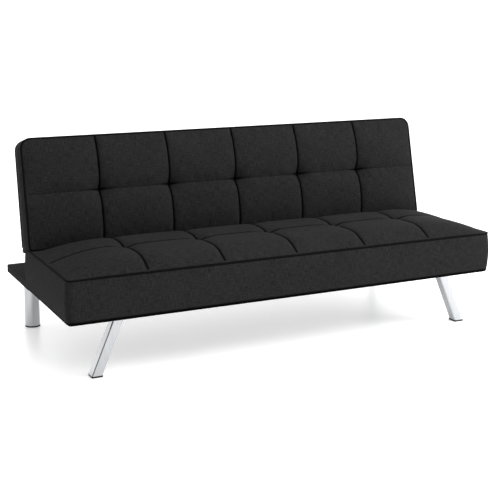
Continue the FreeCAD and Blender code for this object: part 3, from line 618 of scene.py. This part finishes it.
def covered_cord():
    """Piping of the same cloth, pulled tight on the bias, so its threads cross it aslant. Its near-black colour,
    darker than the cloth, is painted shade of the seams beside the cord.
    """
    made, tree, bsdf = material("covered cord", Roughness=0.85)
    bsdf.inputs["Specular IOR Level"].default_value = 0.05
    thread = 1 / sizes().thread
    slub = add(tree, "ShaderNodeTexNoise", {"Scale": 1.0, "Detail": 2.0},
               Vector=place_nodes(tree, (thread * 0.6, thread * 0.6, thread * 0.6))).outputs["Fac"]
    # the cord's colour is painted shade, blended with the dark thread
    tree.links.new(blend_colours(tree, slub, colours().cord, colours().weave_dark), bsdf.inputs["Base Color"])
    bump = add(tree, "ShaderNodeBump", {"Strength": 0.3, "Distance": 0.3 * MM}, Height=slub)
    tree.links.new(bump.outputs[0], bsdf.inputs["Normal"])
    return made


def chromed_tube():
    """Steel tube with a bright chrome plate: a near mirror, with faint polishing haze along the tube."""
    made, tree, bsdf = material("chromed steel", Metallic=1.0)
    haze = add(tree, "ShaderNodeTexNoise", {"Scale": 1.0, "Detail": 4.0},
               Vector=place_nodes(tree, (300, 300, 12))).outputs["Fac"]
    tree.links.new(blend_colours(tree, haze, linear("#9c9ea1"), linear("#bcbec0")), bsdf.inputs["Base Color"])
    rough = add(tree, "ShaderNodeMapRange", {"To Min": 0.04, "To Max": 0.12}, Value=haze).outputs[0]
    tree.links.new(rough, bsdf.inputs["Roughness"])
    return made


def sawn_pine():
    """Planed softwood: growth rings drawn out along the rail, darker latewood lines and a dry, open surface."""
    made, tree, bsdf = material("planed pine", Roughness=0.7)
    place = place_nodes(tree, (4, 60, 60))
    warp = add(tree, "ShaderNodeTexNoise", {"Scale": 1.0, "Detail": 2.0}, Vector=place).outputs["Fac"]
    rings = add(tree, "ShaderNodeTexWave", {"wave_type": "BANDS", "bands_direction": "DIAGONAL", "Scale": 1.2,
                                            "Distortion": 3.0, "Detail": 3.0}, Vector=place).outputs["Fac"]
    fibres = add(tree, "ShaderNodeTexNoise", {"Scale": 1.0, "Detail": 5.0},
                 Vector=place_nodes(tree, (25, 900, 900))).outputs["Fac"]
    wood = blend_colours(tree, rings, linear("#d9bd8b"), linear("#b58a54"))
    fibre_share = add(tree, "ShaderNodeMath", {"operation": "MULTIPLY", 1: 0.5}, i0=fibres).outputs[0]
    wood = blend_colours(tree, fibre_share, wood, linear("#9a7142"))
    latewood = add(tree, "ShaderNodeMapRange", {"From Min": 0.62, "From Max": 0.8}, Value=warp).outputs[0]
    wood = blend_colours(tree, latewood, wood, linear("#8d6437"))
    tree.links.new(wood, bsdf.inputs["Base Color"])
    bump = add(tree, "ShaderNodeBump", {"Strength": 0.3, "Distance": 0.2 * MM}, Height=fibres)
    tree.links.new(bump.outputs[0], bsdf.inputs["Normal"])
    return made


def speckled(name, dark, light, rough, metal=0.0, grain=1.0 * MM, stretch=(1, 1, 1), depth=0.1 * MM, worn=None,
             shine=0.5):
    """A finish whose tone and height vary in grains of a real size; worn edges may show through in patches."""
    made, tree, bsdf = material(name, Metallic=metal, Specular_IOR_Level=shine)
    fine = add(tree, "ShaderNodeTexNoise", {"Scale": 1.0, "Detail": 5.0, "Roughness": 0.6},
               Vector=place_nodes(tree, tuple(s / grain for s in stretch))).outputs["Fac"]
    tone = add(tree, "ShaderNodeMapRange", {"From Min": 0.35, "From Max": 0.65}, Value=fine).outputs[0]
    shade = blend_colours(tree, tone, linear(dark), linear(light))
    patch = add(tree, "ShaderNodeTexNoise", {"Scale": 1.0, "Detail": 3.0},
                Vector=place_nodes(tree, (30, 30, 30))).outputs["Fac"]
    if worn:
        rubbed = add(tree, "ShaderNodeMapRange", {"From Min": 0.6, "From Max": 0.72, "To Max": 0.6},
                     Value=patch).outputs[0]
        shade = blend_colours(tree, rubbed, shade, linear(worn))
    tree.links.new(shade, bsdf.inputs["Base Color"])
    uneven = add(tree, "ShaderNodeMapRange", {"To Min": rough * 0.8, "To Max": min(1, rough * 1.2)},
                 Value=patch).outputs[0]
    tree.links.new(uneven, bsdf.inputs["Roughness"])
    bump = add(tree, "ShaderNodeBump", {"Strength": 0.4, "Distance": depth}, Height=fine)
    tree.links.new(bump.outputs[0], bsdf.inputs["Normal"])
    return made


def use(piece, made):
    piece.data.materials.clear()
    piece.data.materials.append(made)


class SOFA_OT_seat(bpy.types.Operator):
    """Upholster the seat cushion"""
    bl_idname = "sofa.seat"
    bl_label = "Seat cushion"

    def execute(self, context):
        pad = seat_pad()
        use(make_pad(pad, "base", "seat_cover", "seat_foam", "seat_piping"), bpy.data.materials["woven polyester"])
        last = max(i for i, _ in pad.rim)
        side = [key for key in pad.ring if key[0] == last and pad.rim[key][1] < pad.profile[1][1] + 20 * MM]
        spots = rim_spots(pad, 0, pad.ring.index(side[-1]) + 1, CORD_OUT)
        left = rim_spots(pad, len(pad.ring) - len(side) + 1, len(pad.ring), CORD_OUT)
        make_piping("seat_piping_cord", left + spots, sizes().seat_cord, False, "base")
        return {"FINISHED"}


class SOFA_OT_back(bpy.types.Operator):
    """Upholster the back cushion"""
    bl_idname = "sofa.back"
    bl_label = "Back cushion"

    def execute(self, context):
        pad = back_pad()
        use(make_pad(pad, "backrest", "back_cover", "back_foam", "back_piping"),
            bpy.data.materials["woven polyester"])
        cord = sizes().back_cord
        make_piping("back_piping_cord", rim_spots(pad, 0, len(pad.ring), CORD_OUT), cord, True, "backrest")
        # the rear cord stops at the lower corners, so that the back can lie flat behind the seat
        across = 1 + max(i for i, _ in pad.rim)
        make_piping("back_rear_piping_cord", rim_spots(pad, across, len(pad.ring) - 1, 0, True), cord, False,
                    "backrest")
        return {"FINISHED"}


def make_finishes():
    """One material for each finish of the frame, by its slot."""
    cloth = woven_polyester()
    return {
        "woven_cover": cloth,
        "piping": covered_cord(),
        "chromed_tube": chromed_tube(),
        "timber": sawn_pine(),
        # moulded nylon: near black, with a fine satin texture from the mould
        "glide": speckled("moulded nylon", "#060607", "#101011", 0.6, grain=0.6 * MM, depth=0.05 * MM, shine=0.15),
        # spunbond polypropylene: flat black felted fibres with pressed pinpoints, no shine
        "lining": speckled("spunbond lining", "#08080a", "#161617", 0.95, grain=1.5 * MM, depth=0.15 * MM),
        # pressed fibreboard: brown, with long flecks of pulp
        "hardboard": speckled("pressed hardboard", "#5b3d22", "#7c5733", 0.75, grain=3 * MM, stretch=(1, 0.3, 1)),
        # flexible polyurethane foam: pale yellow open cells
        "foam": speckled("polyurethane foam", "#c9bd83", "#e6dfb2", 0.95, grain=1.2 * MM, depth=0.5 * MM),
        # needled wadding of mixed grey fibres
        "felt": speckled("needled felt", "#3c3c3e", "#77777a", 1.0, grain=2 * MM, stretch=(0.3, 1, 1), depth=0.3 * MM),
        # drawn spring steel with a thin black oxide, rubbed bright in places
        "spring_wire": speckled("oiled spring wire", "#3c3e41", "#5c5e62", 0.35, 1.0, grain=0.8 * MM, worn="#9a9ca0"),
        # natural nylon clip, milky and slightly glossy
        "clip": speckled("natural nylon", "#d6d2c2", "#eae7dc", 0.4, grain=2 * MM, depth=0.03 * MM),
        # bright zinc plate with a yellow passivation bloom
        "zinc_screw": speckled("zinc-plated steel", "#a89f7d", "#cfc9b0", 0.3, 1.0, grain=1.0 * MM, worn="#c9b36b"),
        # pressed steel under black enamel, orange-peel texture, rubbed to steel where it moves
        "hinge_steel": speckled("black enamelled steel", "#0d0d0e", "#19191a", 0.4, grain=1.0 * MM, worn="#2c2c2e"),
        # turned steel pin: fine rings round it from the tool
        "pin_steel": speckled("turned steel", "#85878b", "#b4b6ba", 0.28, 1.0, grain=0.5 * MM, stretch=(4, 1, 1)),
    }


class SOFA_OT_finishes(bpy.types.Operator):
    """Give every frame piece its finish"""
    bl_idname = "sofa.finishes"
    bl_label = "Frame finishes"

    def execute(self, context):
        made = make_finishes()
        slots = {part["node"]: part["material_slot"] for part in frame["record"]["subparts"]}
        for node, thing in frame["nodes"].items():
            use(thing, made[slots[node]])
        return {"FINISHED"}


class SOFA_OT_shelf(bpy.types.Operator):
    """Wrap the shelf behind the seat in cloth"""
    bl_idname = "sofa.shelf"
    bl_label = "Shelf cover"

    def execute(self, context):
        low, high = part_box("shelf_cover")
        low -= Vector((4, 20, 1)) * MM  # tucked in under the seat cushion, and padded at its ends
        high.x += 4 * MM
        bpy.ops.object.select_all(action="DESELECT")
        size = high - low
        bpy.ops.mesh.primitive_cube_add(size=1, location=(low + high) / 2, scale=size)
        shelf = context.object
        shelf.name = "shelf_wrap"
        bpy.ops.object.transform_apply(location=True, rotation=True, scale=True)
        bpy.ops.object.mode_set(mode="EDIT")
        mesh = bmesh.from_edit_mesh(shelf.data)
        # the open underside and front show the boards, as the cloth is only stapled round their edges
        for part in mesh.faces:
            part.select_set(part.normal.z < -0.9 or part.normal.y < -0.9)
        bmesh.update_edit_mesh(shelf.data)
        bpy.ops.mesh.delete(type="FACE")
        bpy.ops.mesh.select_all(action="SELECT")
        bpy.ops.mesh.subdivide(number_cuts=12)
        bpy.ops.object.mode_set(mode="OBJECT")
        # the wadding under the cloth swells a little between its stapled edges
        for vertex in shelf.data.vertices:
            across = 1 - abs(vertex.co.x) / high.x
            deep = (high.y - vertex.co.y) / size.y
            if vertex.co.z > high.z - 1e-5:
                vertex.co.z += 1.5 * MM * min(1, 12 * across) * min(1, 6 * deep)
        apply(shelf, "BEVEL", width=5 * MM, segments=4, limit_method="ANGLE", angle_limit=math.radians(40))
        apply(shelf, "SOLIDIFY", thickness=1.5 * MM, offset=-1, use_even_offset=True)
        activate(shelf)
        bpy.ops.object.mode_set(mode="EDIT")
        bpy.ops.mesh.select_all(action="SELECT")
        bpy.ops.uv.cube_project(cube_size=1.0, scale_to_bounds=False)
        bpy.ops.object.mode_set(mode="OBJECT")
        shelf.data.uv_layers[0].name = "Cloth"
        bpy.ops.object.shade_smooth_by_angle(angle=math.radians(40))
        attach(shelf, "base")
        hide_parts("shelf_cover")
        use(shelf, bpy.data.materials["woven polyester"])
        return {"FINISHED"}


class SOFA_OT_stage(bpy.types.Operator):
    """Add the floor, lights and camera"""
    bl_idname = "sofa.stage"
    bl_label = "Stage"

    def execute(self, context):
        bpy.ops.object.select_all(action="DESELECT")
        bpy.ops.mesh.primitive_plane_add(size=60, location=(0, 0, 0))
        floor = context.object
        floor.name = "floor"
        made, tree, bsdf = material("studio floor", Roughness=0.35)
        bsdf.inputs["Base Color"].default_value = linear("#f7f7f7")
        # painted light: the white floor glows a little, as if lit from below, so that shadows on it stay pale
        bsdf.inputs["Emission Color"].default_value = (1, 1, 1, 1)
        bsdf.inputs["Emission Strength"].default_value = 0.42
        use(floor, made)
        world = bpy.data.worlds.new("studio")
        world.use_nodes = True
        sky = world.node_tree
        # soft light all round, dimmer from the front left, so that bright metal has something to show
        turned = add(sky, "ShaderNodeMapping", {"Rotation": (0, 0, math.radians(-55))},
                     Vector=add(sky, "ShaderNodeTexCoord").outputs["Generated"]).outputs[0]
        side = add(sky, "ShaderNodeSeparateXYZ", {}, Vector=turned)
        level = add(sky, "ShaderNodeMapRange", {"From Min": -0.8, "From Max": 0.9, "To Min": 0.25, "To Max": 1.75},
                    Value=side.outputs["X"]).outputs[0]
        sky.links.new(level, sky.nodes["Background"].inputs["Strength"])
        sky.nodes["Background"].inputs["Color"].default_value = (1, 1, 1, 1)
        context.scene.world = world
        context.scene.view_settings.view_transform = "Standard"
        for name, place, size, power in (("key", (3.0, -2.0, 1.4), 1.5, 88), ("top", (0.2, -1.7, 3.3), 2.5, 80)):
            bpy.ops.object.light_add(type="AREA", location=place)
            light = context.object
            light.name = name
            light.data.size = size
            light.data.energy = power
            light.rotation_euler = (Vector((0, 0, 0.3)) - Vector(place)).to_track_quat("-Z", "Y").to_euler()
        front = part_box("seat_cover")[0].y - 1 * MM
        place = Vector((-1.7946, -3.2745 + front, 1.2285))
        yaw, pitch = 0.4552, 0.1526
        bpy.ops.object.camera_add(location=place)
        camera = context.object
        look = Vector((math.sin(yaw) * math.cos(pitch), math.cos(yaw) * math.cos(pitch), -math.sin(pitch)))
        camera.rotation_euler = look.to_track_quat("-Z", "Y").to_euler()
        camera.data.lens = 77.65
        camera.data.sensor_width = 36
        camera.data.shift_y = -0.16
        context.scene.camera = camera
        return {"FINISHED"}


class SOFA_PT_panel(bpy.types.Panel):
    bl_label = "Sofa bed"
    bl_idname = "SOFA_PT_panel"
    bl_space_type = "VIEW_3D"
    bl_region_type = "UI"
    bl_category = "Sofa"

    def draw(self, context):
        for operator in OPERATORS:
            self.layout.operator(operator.bl_idname)


OPERATORS = (SOFA_OT_finishes, SOFA_OT_seat, SOFA_OT_back, SOFA_OT_shelf, SOFA_OT_stage)
CLASSES = (SofaSizes, SofaColours, *OPERATORS, SOFA_PT_panel)


def register():
    for cls in CLASSES:
        bpy.utils.register_class(cls)
    bpy.types.Scene.sofa_sizes = bpy.props.PointerProperty(type=SofaSizes)
    bpy.types.Scene.sofa_colours = bpy.props.PointerProperty(type=SofaColours)


def unregister():
    del bpy.types.Scene.sofa_colours
    del bpy.types.Scene.sofa_sizes
    for cls in reversed(CLASSES):
        bpy.utils.unregister_class(cls)


def main():
    register()
    bpy.ops.sofa.finishes()
    bpy.ops.sofa.seat()
    bpy.ops.sofa.back()
    bpy.ops.sofa.shelf()
    bpy.ops.sofa.stage()
    bpy.context.view_layer.update()


if __name__ == "__main__":
    main()
